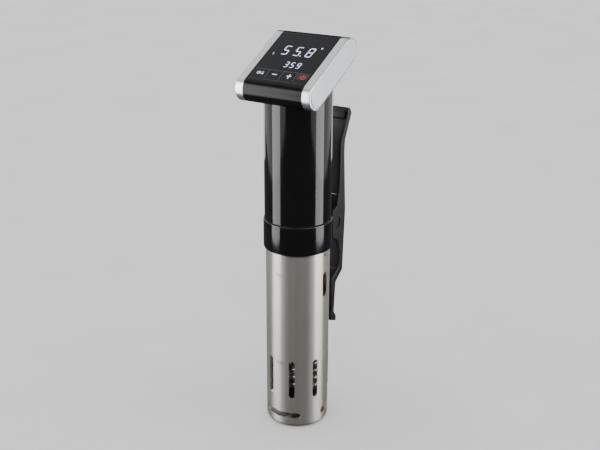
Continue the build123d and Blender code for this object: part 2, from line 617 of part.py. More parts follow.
# ---------------------------------------------------------------- carrier that closes the housing
with BuildPart() as heater_carrier:
    with BuildSketch(Plane.XY.offset(CARRIER_LOW)):
        Circle(CARRIER_R)
    extrude(amount=CARRIER_PLATE)
    with BuildSketch(Plane.XY.offset(CARRIER_SKIRT_LOW)):
        Circle(CARRIER_R)
        Circle(CARRIER_R - 2.6, mode=Mode.SUBTRACT)
    extrude(amount=CARRIER_LOW - CARRIER_SKIRT_LOW)
    with BuildSketch(Plane.XY.offset(CARRIER_LOW + CARRIER_PLATE)):
        Circle(SLEEVE_R + SLIP_GAP - 0.1)
    extrude(amount=FLANGE_TOP - CARRIER_LOW - CARRIER_PLATE)
    with BuildSketch(Plane.XY.offset(FLANGE_TOP)):
        Circle(PLUG_R)
        Circle(PLUG_R - 2.4, mode=Mode.SUBTRACT)
    extrude(amount=PLUG_TOP - FLANGE_TOP)
    with BuildSketch(Plane.XY.offset(FLANGE_TOP + 1.6)):
        Circle(PLUG_R + 1)
        Circle(PLUG_R - 1.3, mode=Mode.SUBTRACT)
    extrude(amount=2.6, mode=Mode.SUBTRACT)
    with BuildSketch(Plane.XY.offset(CARRIER_LOW - GUIDE_DEPTH)):
        Circle(GUIDE_R)
    extrude(amount=FLANGE_TOP - CARRIER_LOW + GUIDE_DEPTH + 5)
    with BuildSketch(Plane.XY.offset(FLANGE_TOP)):
        with PolarLocations(PILLAR_RING_R, 3, PILLAR_START):
            Circle(PILLAR_R)
    extrude(amount=HOUSING_LOW - FLANGE_TOP)
    # Shaft passage, seat of the guard tube below, seat of the seal above
    with BuildSketch(Plane.XY.offset(CARRIER_LOW - GUIDE_DEPTH)):
        Circle(SHAFT_R + 0.6)
    extrude(amount=30, mode=Mode.SUBTRACT)
    with BuildSketch(Plane.XY.offset(CARRIER_LOW - GUIDE_DEPTH)):
        Circle(TUBE_R)
    extrude(amount=GUIDE_DEPTH, mode=Mode.SUBTRACT)
    with BuildSketch(Plane.XY.offset(FLANGE_TOP)):
        Circle(SEAL_R)
    extrude(amount=6, mode=Mode.SUBTRACT)
    # Holes for the heater's ends, the probes, the screws and the detent studs
    with BuildSketch(Plane.XY.offset(CARRIER_LOW - 1)):
        with Locations((HEATER_LEG_R, 0), (0, HEATER_COIL_R)):
            Circle(HEATER_ROD_R)
        with PolarLocations(PROBE_RING_R, 3, THERMOMETER_ANGLE, 120):
            Circle(PROBE_R)
    extrude(amount=10, mode=Mode.SUBTRACT)
    with BuildSketch(Plane.XY.offset(HOUSING_LOW - 8)):
        with PolarLocations(PILLAR_RING_R, 3, PILLAR_START):
            Circle(PILOT_R)
    extrude(amount=9, mode=Mode.SUBTRACT)
    for angle in (-90, 90):
        with BuildSketch(facing(angle, CARRIER_R - 5, DETENT_Z)):
            Circle(STUD_R)
        extrude(amount=6, mode=Mode.SUBTRACT)
heater_carrier.part.label = "heater_carrier"
export_step(heater_carrier.part, "parts/heater_carrier.step")

with BuildPart() as carrier_seal:
    with BuildSketch(Plane.XZ):
        with Locations((PLUG_R - 0.4, FLANGE_TOP + 2.9)):
            Ellipse(0.69, 1.15)
    revolve(axis=Axis.Z)
carrier_seal.part.label = "carrier_seal"
export_step(carrier_seal.part, "parts/carrier_seal.step")

with BuildPart() as carrier_screws:
    with BuildSketch(Plane.XY.offset(MOUNT_TOP - 10)):
        with PolarLocations(PILLAR_RING_R, 3, PILLAR_START):
            Circle(PILOT_R)
    extrude(amount=10)
    with BuildSketch(Plane.XY.offset(MOUNT_TOP)):
        with PolarLocations(PILLAR_RING_R, 3, PILLAR_START):
            Circle(2.7)
            RegularPolygon(1.2, 6, mode=Mode.SUBTRACT)
    extrude(amount=2)
carrier_screws.part.label = "carrier_screws"
export_step(carrier_screws.part, "parts/carrier_screws.step")

with BuildPart() as sleeve_detents:
    for angle in (-90, 90):
        with BuildSketch(facing(angle, CARRIER_R - 4.6, DETENT_Z)):
            Circle(STUD_R)
        extrude(amount=4.4)
sleeve_detents.part.label = "sleeve_detents"
export_step(sleeve_detents.part, "parts/sleeve_detents.step")

with BuildPart() as shaft_seal:
    with BuildSketch(Plane.XY.offset(FLANGE_TOP)):
        Circle(SEAL_R)
        Circle(SHAFT_R + SHAFT_PLAY, mode=Mode.SUBTRACT)
    extrude(amount=4)
shaft_seal.part.label = "shaft_seal"
export_step(shaft_seal.part, "parts/shaft_seal.step")

with BuildPart() as shaft_tube:
    with BuildSketch(Plane.XY.offset(TUBE_LOW)):
        Circle(TUBE_R)
        Circle(TUBE_BORE_R, mode=Mode.SUBTRACT)
    extrude(amount=CARRIER_LOW - TUBE_LOW)
shaft_tube.part.label = "shaft_tube"
export_step(shaft_tube.part, "parts/shaft_tube.step")

with BuildPart() as shaft_bushes:
    for low in (TUBE_LOW, CARRIER_LOW - GUIDE_DEPTH):
        with BuildSketch(Plane.XY.offset(low)):
            Circle(TUBE_BORE_R)
            Circle(SHAFT_R + SHAFT_PLAY, mode=Mode.SUBTRACT)
        extrude(amount=GUIDE_DEPTH)
shaft_bushes.part.label = "shaft_bushes"
export_step(shaft_bushes.part, "parts/shaft_bushes.step")

# ---------------------------------------------------------------- heater and probes
COIL_HEIGHT = HEATER_PITCH * HEATER_TURNS
with BuildPart() as heater_coil:
    with BuildLine() as coil_line:
        coil = Helix(HEATER_PITCH, COIL_HEIGHT, HEATER_COIL_R, center=(0, 0, HEATER_LOW))
    with BuildSketch(Plane(origin=coil @ 0, z_dir=coil % 0)):
        Circle(HEATER_ROD_R)
    sweep(path=coil_line.line, is_frenet=True)
    # The lower end turns in and rises inside the coil; the upper end rises straight up
    inner_corner = Vector(HEATER_LEG_R, 0, HEATER_LOW)
    inner_top = Vector(HEATER_LEG_R, 0, LEAD_TOP)
    outer_top = Vector((coil @ 1).X, (coil @ 1).Y, LEAD_TOP)
    for start, end in ((coil @ 0, inner_corner), (inner_corner, inner_top), (coil @ 1, outer_top)):
        with BuildSketch(Plane(origin=start, z_dir=end - start)):
            Circle(HEATER_ROD_R)
        extrude(amount=(end - start).length)
        with Locations(start):
            Sphere(HEATER_ROD_R)
heater_coil.part.label = "heater_coil"
export_step(heater_coil.part, "parts/heater_coil.step")

with BuildPart() as heater_nuts:
    with BuildSketch(Plane.XY.offset(FLANGE_TOP)):
        with Locations((HEATER_LEG_R, 0), (0, HEATER_COIL_R)):
            RegularPolygon(5.0, 6)
            Circle(HEATER_ROD_R, mode=Mode.SUBTRACT)
    extrude(amount=3)
heater_nuts.part.label = "heater_nuts"
export_step(heater_nuts.part, "parts/heater_nuts.step")

with BuildPart() as thermal_cutout:
    with Locations((-13.5, -8.5, FLANGE_TOP)):
        Cylinder(5.0, 3.2, align=(Align.CENTER, Align.CENTER, Align.MIN))
        Cylinder(3.2, 5.0, align=(Align.CENTER, Align.CENTER, Align.MIN))
thermal_cutout.part.label = "thermal_cutout"
export_step(thermal_cutout.part, "parts/thermal_cutout.step")

# A rounded-tip steel tube for the thermometer, and two rods that feel the lowest water level
with BuildPart() as temperature_probe:
    with BuildSketch(Plane.XY.offset(THERMOMETER_LOW)):
        with PolarLocations(PROBE_RING_R, 1, THERMOMETER_ANGLE):
            Circle(PROBE_R)
    extrude(amount=FLANGE_TOP - THERMOMETER_LOW)
    fillet(temperature_probe.edges().sort_by(Axis.Z)[0], 1.2)
temperature_probe.part.label = "temperature_probe"
export_step(temperature_probe.part, "parts/temperature_probe.step")

with BuildPart() as level_probes:
    with BuildSketch(Plane.XY.offset(LEVEL_LOW)):
        with PolarLocations(PROBE_RING_R, 2, LEVEL_ANGLE, 80):
            Circle(PROBE_R)
    extrude(amount=FLANGE_TOP - LEVEL_LOW)
level_probes.part.label = "level_probes"
export_step(level_probes.part, "parts/level_probes.step")

# ---------------------------------------------------------------- rim clamp
with BuildPart() as clamp_bracket:
    with BuildSketch(Plane.XY.offset(182)):
        Circle(COLLAR_R + 2.6)
        Circle(COLLAR_R, mode=Mode.SUBTRACT)
        with Locations((0, COLLAR_R)):
            Rectangle(24, 10, mode=Mode.INTERSECT)
    extrude(amount=23)
    with BuildSketch(Plane.YZ.offset(-TONGUE_HALF_WIDTH)):
        with BuildLine():
            Polyline((COLLAR_R + 1, 183), (PIVOT_Y, PIVOT_Z - TONGUE_R), (PIVOT_Y, PIVOT_Z + TONGUE_R),
                     (COLLAR_R + 1, 204), close=True)
        make_face()
        with Locations((PIVOT_Y, PIVOT_Z)):
            Circle(TONGUE_R)
    extrude(amount=2 * TONGUE_HALF_WIDTH)
    with BuildSketch(Plane.YZ.offset(-TONGUE_HALF_WIDTH - 1)):
        with Locations((PIVOT_Y, PIVOT_Z)):
            Circle(PIN_R)
    extrude(amount=2 * TONGUE_HALF_WIDTH + 2, mode=Mode.SUBTRACT)
    for angle in BRACKET_SCREW_ANGLES:
        with BuildSketch(facing(angle, COLLAR_R - 2, BRACKET_SCREW_Z)):
            Circle(PILOT_R)
        extrude(amount=4, mode=Mode.SUBTRACT)
clamp_bracket.part.label = "clamp_bracket"
export_step(clamp_bracket.part, "parts/clamp_bracket.step")

with BuildPart() as bracket_screws:
    for angle in BRACKET_SCREW_ANGLES:
        with BuildSketch(facing(angle, SPIGOT_R + 0.4, BRACKET_SCREW_Z)):
            Circle(PILOT_R)
        extrude(amount=4.2)
        with BuildSketch(facing(angle, SPIGOT_R + 0.2, BRACKET_SCREW_Z)):
            Circle(2.3)
        extrude(amount=0.9)
bracket_screws.part.label = "bracket_screws"
export_step(bracket_screws.part, "parts/bracket_screws.step")

with BuildPart() as clamp_lever:
    outline = BACK + FOOT + FRONT + TOP
    with BuildSketch(Plane.YZ.offset(-LEVER_HALF_WIDTH)):
        with BuildLine():
            FilletPolyline(*[(y, z) for y, z, r in outline], radius=[r for y, z, r in outline], close=True)
        make_face()
    extrude(amount=2 * LEVER_HALF_WIDTH)
    for side_face in clamp_lever.faces().filter_by(Axis.X).sort_by(Axis.X):
        fillet(side_face.edges(), LEVER_EDGE_R)
    for x in (-LEVER_HALF_WIDTH, LEVER_HALF_WIDTH - DIMPLE_DEPTH):
        with BuildSketch(Plane.YZ.offset(x)):
            with Locations((PIVOT_Y, PIVOT_Z)):
                Circle(DIMPLE_R)
        extrude(amount=DIMPLE_DEPTH, mode=Mode.SUBTRACT)
    cavity = [(CAVITY_TOP_BACK, CAVITY_HIGH, 3)] + CAVITY_BACK + [
        (CAVITY_BOTTOM_BACK, CAVITY_LOW, 2), (CAVITY_FRONT, CAVITY_LOW, 1), (CAVITY_FRONT, CAVITY_HIGH, 1)]
    with BuildSketch(Plane.YZ.offset(LEVER_SIDE - LEVER_HALF_WIDTH)):
        with BuildLine():
            FilletPolyline(*[(y, z) for y, z, r in cavity], radius=[r for y, z, r in cavity], close=True)
        make_face()
    extrude(amount=2 * (LEVER_HALF_WIDTH - LEVER_SIDE), mode=Mode.SUBTRACT)
    with BuildSketch(Plane(origin=(0, TOP[0][0], TOP[0][1]), x_dir=(1, 0, 0), z_dir=RIM_SLOPE)):
        with Locations((0, -RIM_THICK)):
            Rectangle(2 * (LEVER_HALF_WIDTH - RIM_THICK), 26, align=(Align.CENTER, Align.MAX))
        with Locations((0, -RIM_THICK - RIM_GROOVE)):
            Rectangle(2 * (LEVER_HALF_WIDTH - RIM_THICK - RIM_GROOVE), 26,
                      align=(Align.CENTER, Align.MAX), mode=Mode.SUBTRACT)
    extrude(amount=-RIM_DEPTH, mode=Mode.SUBTRACT)
    with BuildSketch(Plane.YZ.offset(-LEVER_HALF_WIDTH - 2)):
        with Locations((PIVOT_Y, PIVOT_Z)):
            Circle(PIN_R + PIN_PLAY)
    extrude(amount=2 * LEVER_HALF_WIDTH + 4, mode=Mode.SUBTRACT)
clamp_lever.part.label = "clamp_lever"
export_step(clamp_lever.part, "parts/clamp_lever.step")

with BuildPart() as jaw_pad:
    with Locations((0, FOOT_FRONT_Y, PAD_LOW)):
        Box(2 * PAD_HALF_WIDTH, FOOT_FRONT_Y - PAD_FRONT_Y, PAD_HEIGHT,
            align=(Align.CENTER, Align.MAX, Align.MIN))
    front_face = jaw_pad.faces().sort_by(Axis.Y)[0]
    fillet(front_face.edges(), 1.0)
    with Locations((0, PAD_FRONT_Y, PAD_LOW + PAD_HEIGHT / 2)):
        with GridLocations(4, 1, 5, 1):
            Box(0.9, 1.2, 8, mode=Mode.SUBTRACT)
jaw_pad.part.label = "jaw_pad"
export_step(jaw_pad.part, "parts/jaw_pad.step")

with BuildPart() as clamp_pin:
    with BuildSketch(Plane.YZ.offset(-PIN_HALF_LENGTH)):
        with Locations((PIVOT_Y, PIVOT_Z)):
            Circle(PIN_R)
    extrude(amount=2 * PIN_HALF_LENGTH)
    chamfer(clamp_pin.edges(), 0.3)
clamp_pin.part.label = "clamp_pin"
export_step(clamp_pin.part, "parts/clamp_pin.step")

# Double torsion spring: a coil on each side of the tongue, joined by a bridge behind the lever's back
with BuildPart() as clamp_spring:
    with BuildLine() as coil_line:
        coil = Helix(SPRING_PITCH, SPRING_TURNS * SPRING_PITCH, SPRING_COIL_R,
                     center=(SPRING_COIL_NEAR, PIVOT_Y, PIVOT_Z), direction=(1, 0, 0), lefthand=True)
    with BuildSketch(Plane(origin=coil @ 0, z_dir=coil % 0)):
        Circle(SPRING_WIRE_R)
    sweep(path=coil_line.line, is_frenet=True)
    bridge_end = Vector((coil @ 1).X, SPRING_BRIDGE_Y, SPRING_BRIDGE_Z)
    bridge_middle = Vector(0, SPRING_BRIDGE_Y, SPRING_BRIDGE_Z)
    short_leg_end = Vector(SPRING_COIL_NEAR, COLLAR_R + 2.2, (coil @ 0).Z)
    for start, end in ((coil @ 0, short_leg_end), (coil @ 1, bridge_end), (bridge_end, bridge_middle)):
        with BuildSketch(Plane(origin=start, z_dir=end - start)):
            Circle(SPRING_WIRE_R)
        extrude(amount=(end - start).length)
        with Locations(start):
            Sphere(SPRING_WIRE_R)
    mirror(about=Plane.YZ)
clamp_spring.part.label = "clamp_spring"
export_step(clamp_spring.part, "parts/clamp_spring.step")
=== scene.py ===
"""Looks for the sous vide circulator: materials, display graphics, etched marks and the clamp spring."""
import json
import math

import bpy
from mathutils import Matrix, Vector

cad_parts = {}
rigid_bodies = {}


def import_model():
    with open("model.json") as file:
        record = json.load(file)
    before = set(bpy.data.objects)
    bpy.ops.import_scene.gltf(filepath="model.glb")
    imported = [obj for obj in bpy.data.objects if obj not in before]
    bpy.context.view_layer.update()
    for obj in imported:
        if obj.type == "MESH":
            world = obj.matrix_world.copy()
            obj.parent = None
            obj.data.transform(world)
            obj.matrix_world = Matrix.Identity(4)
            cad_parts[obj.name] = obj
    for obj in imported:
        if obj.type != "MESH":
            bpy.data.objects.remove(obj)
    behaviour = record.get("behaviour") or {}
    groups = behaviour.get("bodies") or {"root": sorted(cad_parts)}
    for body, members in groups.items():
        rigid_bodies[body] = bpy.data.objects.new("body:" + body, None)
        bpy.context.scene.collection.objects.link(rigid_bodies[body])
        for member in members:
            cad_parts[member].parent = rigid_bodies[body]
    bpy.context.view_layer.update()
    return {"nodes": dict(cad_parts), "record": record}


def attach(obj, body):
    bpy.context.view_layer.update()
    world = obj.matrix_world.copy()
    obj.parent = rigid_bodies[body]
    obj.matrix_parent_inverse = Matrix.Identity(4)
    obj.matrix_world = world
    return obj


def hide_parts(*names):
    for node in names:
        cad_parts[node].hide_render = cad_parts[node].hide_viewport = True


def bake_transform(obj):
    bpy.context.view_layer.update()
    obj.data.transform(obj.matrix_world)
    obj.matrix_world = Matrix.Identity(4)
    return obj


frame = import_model()

MM = 0.001

# The head's flat top, from the CAD: tilt, centre line of the nose and half thickness
HEAD_TILT = math.radians(28.9)
NOSE = Vector((0, -30.8, 329.5)) * MM
HEAD_R = 11.6 * MM
SLEEVE_R = 30.0 * MM


# ---------------------------------------------------------------- material helpers
class Shader:
    """A new material with short ways to add and join nodes."""

    def __init__(self, name, color, roughness, metallic=0.0, **sockets):
        self.material = bpy.data.materials.new(name)
        self.material.use_nodes = True
        self.nodes = self.material.node_tree.nodes
        self.links = self.material.node_tree.links
        self.bsdf = self.nodes["Principled BSDF"]
        self.set(self.bsdf, "Base Color", (*color, 1.0))
        self.set(self.bsdf, "Roughness", roughness)
        self.set(self.bsdf, "Metallic", metallic)
        for socket, value in sockets.items():
            self.set(self.bsdf, socket.replace("_", " "), value)
        self.place = self.add("ShaderNodeTexCoord").outputs["Object"]

    @staticmethod
    def set(node, socket, value):
        node.inputs[socket].default_value = value

    def add(self, kind, **values):
        node = self.nodes.new(kind)
        for key, value in values.items():
            setattr(node, key, value)
        return node

    def noise(self, scale, stretch=(1, 1, 1), detail=4.0, rough=0.55):
        """Noise over the object's own coordinates; scale is in features per metre."""
        mapping = self.add("ShaderNodeMapping")
        self.set(mapping, "Scale", Vector(stretch) * scale)
        self.links.new(self.place, mapping.inputs["Vector"])
        noise = self.add("ShaderNodeTexNoise")
        self.set(noise, "Scale", 1.0)
        self.set(noise, "Detail", detail)
        self.set(noise, "Roughness", rough)
        self.links.new(mapping.outputs["Vector"], noise.inputs["Vector"])
        return noise.outputs["Fac"]

    def spread(self, value, low, high, start=0.3, end=0.7):
        """A value between start and end, mapped to low..high."""
        node = self.add("ShaderNodeMapRange")
        for socket, number in (("From Min", start), ("From Max", end), ("To Min", low), ("To Max", high)):
            self.set(node, socket, number)
        self.links.new(value, node.inputs["Value"])
        return node.outputs["Result"]

    def tint(self, value, dark, light):
        """Colour that runs from dark to light as value goes from 0.3 to 0.7; drives the base colour."""
        mix = self.add("ShaderNodeMix", data_type="RGBA")
        mix.inputs["A"].default_value = (*dark, 1.0)
        mix.inputs["B"].default_value = (*light, 1.0)
        self.links.new(self.spread(value, 0.0, 1.0), mix.inputs["Factor"])
        self.links.new(mix.outputs["Result"], self.bsdf.inputs["Base Color"])
        return mix

    def polish(self, value, low, high):
        self.links.new(self.spread(value, low, high), self.bsdf.inputs["Roughness"])

    def bump(self, value, height, strength=1.0):
        """Relief of a given height in millimetres."""
        node = self.add("ShaderNodeBump")
        self.set(node, "Strength", strength)
        self.set(node, "Distance", height * MM)
        self.links.new(value, node.inputs["Height"])
        last = self.bsdf.inputs["Normal"].links
        if last:
            self.links.new(last[0].from_socket, node.inputs["Normal"])
        self.links.new(node.outputs["Normal"], self.bsdf.inputs["Normal"])


def mixed(color, amount):
    """The same colour, a little lighter or darker."""
    return tuple(max(0.0, min(1.0, c * (1 + amount))) for c in color)


def turned_steel(name, color, roughness):
    """Stainless steel brushed round the stick: fine rings, and highlights drawn out along Z."""
    s = Shader(name, color, roughness, 1.0, Anisotropic=0.95, Anisotropic_Rotation=0.25)
    tangent = s.add("ShaderNodeTangent", direction_type="RADIAL", axis="Z")
    s.links.new(tangent.outputs["Tangent"], s.bsdf.inputs["Tangent"])
    rings = s.noise(1.0, (55, 55, 5200), 5.0, 0.62)
    clouds = s.noise(28.0, (1, 1, 0.5), 3.0)
    s.tint(clouds, mixed(color, -0.035), mixed(color, 0.035))
    s.polish(rings, roughness - 0.035, roughness + 0.045)
    s.bump(rings, 0.004)
    return s.material


def satin_metal(name, color, roughness, grain=(1, 1, 1)):
    """Bead-blasted and lightly brushed metal, with a fine grain."""
    s = Shader(name, color, roughness, 1.0)
    fine = s.noise(2600.0, grain, 3.0, 0.6)
    clouds = s.noise(30.0, (1, 1, 1), 2.0)
    s.tint(clouds, mixed(color, -0.03), mixed(color, 0.02))
    s.polish(fine, roughness - 0.04, roughness + 0.05)
    s.bump(fine, 0.006)
    return s.material


def plain_steel(name, color, roughness):
    """Machined or drawn steel with fine scratches and some darker clouds."""
    s = Shader(name, color, roughness, 1.0)
    scratches = s.noise(1.0, (900, 900, 140), 4.0, 0.6)
    s.tint(s.noise(90.0), mixed(color, -0.12), mixed(color, 0.04))
    s.polish(scratches, roughness - 0.06, roughness + 0.10)
    s.bump(scratches, 0.004)
    return s.material


def heater_steel(name, color, roughness):
    """Polished heater tube with straw and grey heat tints in patches."""
    s = Shader(name, color, roughness, 1.0)
    s.tint(s.noise(60.0, (1, 1, 1), 3.0), (0.46, 0.40, 0.33), (0.74, 0.73, 0.70))
    s.polish(s.noise(500.0), roughness - 0.05, roughness + 0.10)
    s.bump(s.noise(1400.0), 0.004)
    return s.material


def gloss_plastic(name, color, roughness, ior=1.52):
    """Polished moulding: nearly mirror smooth, with a trace of haze and flow waviness."""
    s = Shader(name, color, roughness, 0.0, IOR=ior)
    haze = s.noise(75.0, (1, 1, 0.6), 3.0)
    s.tint(s.noise(22.0), mixed(color, -0.15), mixed(color, 0.15))
    s.polish(haze, roughness - 0.02, roughness + 0.03)
    s.bump(s.noise(55.0, (1, 1, 0.4), 1.0), 0.002)
    return s.material


def black_glass(name, color, roughness):
    """Touch glass with a black print behind it: sharp gloss over a faint speckle in the print."""
    s = Shader(name, color, roughness, 0.0, IOR=1.3)
    s.tint(s.noise(4200.0, (1, 1, 1), 1.0), mixed(color, -0.2), mixed(color, 0.2))
    s.polish(s.noise(60.0, (1, 1, 1), 3.0), roughness - 0.02, roughness + 0.04)
    return s.material


def grained_plastic(name, color, roughness, grain=0.012):
    """Satin moulding with a fine spark-eroded grain and slightly polished patches from handling."""
    s = Shader(name, color, roughness, 0.0, IOR=1.4)
    fine = s.noise(2400.0, (1, 1, 1), 3.0, 0.6)
    s.tint(s.noise(40.0), mixed(color, -0.18), mixed(color, 0.22))
    s.polish(s.noise(120.0, (1, 1, 1), 3.0), roughness - 0.06, roughness + 0.07)
    s.bump(fine, grain)
    return s.material


def rubber(name, color, roughness):
    """Dull silicone with a soft bloom and dust-fine texture."""
    s = Shader(name, color, roughness, 0.0, IOR=1.45, Sheen_Weight=0.15, Sheen_Roughness=0.5)
    s.tint(s.noise(150.0), mixed(color, -0.2), mixed(color, 0.5))
    s.polish(s.noise(300.0), roughness - 0.06, roughness + 0.06)
    s.bump(s.noise(3000.0, (1, 1, 1), 2.0), 0.012)
    return s.material


def circuit_board(name, color, roughness):
    """Green solder mask over a grid of traces, with slightly raised copper."""
    s = Shader(name, color, roughness, 0.0, IOR=1.5, Coat_Weight=0.3, Coat_Roughness=0.15)
    bricks = s.add("ShaderNodeTexBrick")
    mapping = s.add("ShaderNodeMapping")
    s.set(mapping, "Scale", (260.0, 260.0, 260.0))
    s.set(mapping, "Rotation", (math.radians(90), 0, 0))
    s.links.new(s.place, mapping.inputs["Vector"])
    s.links.new(mapping.outputs["Vector"], bricks.inputs["Vector"])
    for socket, value in (("Scale", 1.0), ("Mortar Size", 0.06), ("Brick Width", 1.7), ("Row Height", 0.35)):
        s.set(bricks, socket, value)
    s.set(bricks, "Color1", (*mixed(color, -0.1), 1))
    s.set(bricks, "Color2", (*mixed(color, 0.15), 1))
    s.set(bricks, "Mortar", (*mixed(color, 1.2), 1))
    s.links.new(bricks.outputs["Color"], s.bsdf.inputs["Base Color"])
    s.bump(bricks.outputs["Fac"], 0.03)
    return s.material


def winding(name, color, roughness):
    """Enamelled copper wire lying in fine turns."""
    s = Shader(name, color, roughness, 1.0, Coat_Weight=0.6, Coat_Roughness=0.1)
    turns = s.noise(1.0, (60, 60, 3200), 2.0)
    s.tint(turns, mixed(color, -0.45), mixed(color, 0.1))
    s.polish(turns, roughness - 0.05, roughness + 0.1)
    s.bump(turns, 0.06)
    return s.material


MATERIAL_KINDS = {
    "brushed_steel": (turned_steel, (0.61, 0.59, 0.53), 0.40),
    "gloss_black": (gloss_plastic, (0.003, 0.003, 0.0035), 0.09),
    "black_glass": (black_glass, (0.005, 0.0055, 0.007), 0.07),
    "cap_silver": (satin_metal, (0.87, 0.88, 0.89), 0.30),
    "plate_silver": (satin_metal, (0.66, 0.685, 0.72), 0.42),
    "black_plastic": (grained_plastic, (0.010, 0.010, 0.011), 0.42),
    "black_steel": (grained_plastic, (0.012, 0.012, 0.013), 0.38),
    "black_rubber": (rubber, (0.014, 0.014, 0.015), 0.72),
    "steel": (plain_steel, (0.56, 0.56, 0.55), 0.30),
    "spring_steel": (plain_steel, (0.72, 0.72, 0.71), 0.16),
    "heater_steel": (heater_steel, (0.66, 0.64, 0.60), 0.20),
    "circuit_board": (circuit_board, (0.012, 0.09, 0.035), 0.35),
    "component_black": (grained_plastic, (0.02, 0.02, 0.022), 0.5),
    "component_metal": (satin_metal, (0.70, 0.70, 0.71), 0.36),
    "copper": (winding, (0.62, 0.30, 0.15), 0.3),
    "white_plastic": (grained_plastic, (0.70, 0.70, 0.68), 0.5),
    "natural_plastic": (grained_plastic, (0.62, 0.60, 0.54), 0.5),
}


# The head's moulding is a little softer than the housing's polish
SOFT_NODES = ("head_shell",)


def finish_cad_nodes():
    """Gives every CAD node the procedural material of its slot."""
    materials = {slot: make("mat_" + slot, color, rough)
                 for slot, (make, color, rough) in MATERIAL_KINDS.items()}
    for subpart in frame["record"]["subparts"]:
        node = frame["nodes"][subpart["node"]]
        node.data.materials.clear()
        node.data.materials.append(materials[subpart["material_slot"]])
    soft = gloss_plastic("mat_soft_black", (0.003, 0.003, 0.0035), 0.21, 1.33)
    for name in SOFT_NODES:
        frame["nodes"][name].data.materials[0] = soft
    return materials


# ---------------------------------------------------------------- geometry helpers
def new_mesh(name, points, faces, material):
    mesh = bpy.data.meshes.new(name)
    mesh.from_pydata([tuple(p) for p in points], [], faces)
    mesh.validate()
    mesh.update()
    mesh.materials.append(material)
    piece = bpy.data.objects.new(name, mesh)
    bpy.context.scene.collection.objects.link(piece)
    return piece


def on_glass(x, u, lift):
    """World point of a place on the glass: x from the centre, u up the slope, lift above the glass, in mm."""
    slope = Vector((0, math.cos(HEAD_TILT), math.sin(HEAD_TILT)))
    normal = Vector((0, -math.sin(HEAD_TILT), math.cos(HEAD_TILT)))
    return NOSE + Vector((1, 0, 0)) * x * MM + slope * u * MM + normal * (HEAD_R + lift * MM)


def on_sleeve(x, z, lift):
    """World point of a place on the sleeve's front: x mm along the wall from the front, z mm up."""
    angle = x * MM / SLEEVE_R
    radius = SLEEVE_R + lift * MM
    return Vector((radius * math.sin(angle), -radius * math.cos(angle), z * MM))


def printed(name, outlines, place, material, low, high):
    """Thin closed plates with the given outlines, as lists of (x, y) in mm, laid on a surface."""
    points, faces = [], []
    for outline in outlines:
        first, count = len(points), len(outline)
        points += [place(x, y, low) for x, y in outline] + [place(x, y, high) for x, y in outline]
        faces.append([first + i for i in reversed(range(count))])
        faces.append([first + count + i for i in range(count)])
        for i in range(count):
            j = (i + 1) % count
            faces.append([first + i, first + j, first + count + j, first + count + i])
    return new_mesh(name, points, faces, material)


def bar(start, end, width):
    """Outline of a straight stroke."""
    along = (Vector(end) - Vector(start)).normalized() * width / 2
    side = Vector((-along.y, along.x))
    start, end = Vector(start), Vector(end)
    return [tuple(start - side), tuple(end - side), tuple(end + side), tuple(start + side)]


def arc_strokes(centre, radius, width, start, end, steps=20):
    """Short outlines that follow an arc; angles in degrees from +x, anticlockwise."""
    outlines = []
    for i in range(steps):
        a, b = (math.radians(start + (end - start) * (i + k) / steps) for k in (0, 1))
        inner, outer = radius - width / 2, radius + width / 2
        outlines.append([(centre[0] + r * math.cos(t), centre[1] + r * math.sin(t))
                         for r, t in ((inner, a), (outer, a), (outer, b), (inner, b))])
    return outlines


def disc(centre, radius, steps=20):
    turns = [2 * math.pi * i / steps for i in range(steps)]
    return [(centre[0] + radius * math.cos(t), centre[1] + radius * math.sin(t)) for t in turns]


def tube(name, path, radius, material, sides=16):
    """Closed wire of a given radius along a list of points, with a frame carried along it."""
    points, faces = [], []
    normal = None
    for i, place in enumerate(path):
        ahead = (path[min(i + 1, len(path) - 1)] - path[max(i - 1, 0)]).normalized()
        if normal is None:
            normal = ahead.orthogonal().normalized()
        normal = (normal - ahead * normal.dot(ahead)).normalized()
        across = ahead.cross(normal)
        for k in range(sides):
            turn = 2 * math.pi * k / sides
            points.append(place + (normal * math.cos(turn) + across * math.sin(turn)) * radius)
    for i in range(len(path) - 1):
        for k in range(sides):
            a, b = i * sides + k, i * sides + (k + 1) % sides
            faces.append([a, b, b + sides, a + sides])
    faces.append(list(reversed(range(sides))))
    faces.append([(len(path) - 1) * sides + k for k in range(sides)])
    piece = new_mesh(name, points, faces, material)
    for face in piece.data.polygons:
        face.use_smooth = len(face.vertices) == 4
    return piece


# ---------------------------------------------------------------- clamp spring
# Sizes in mm, as in the CAD: the pin's axis, the coils round it, and the bridge that joins their long legs
PIVOT_Y, PIVOT_Z = 44.6, 190.9
SPRING_WIRE_R, SPRING_COIL_R, SPRING_PITCH, SPRING_TURNS = 0.8, 4.3, 1.8, 2.842
SPRING_NEAR, SPRING_LEG_END = 7.4, 34.2
SPRING_BRIDGE = (55.0, 214.8)
SPRING_BEND = 2.4
COIL_STEPS, BEND_STEPS = 110, 8


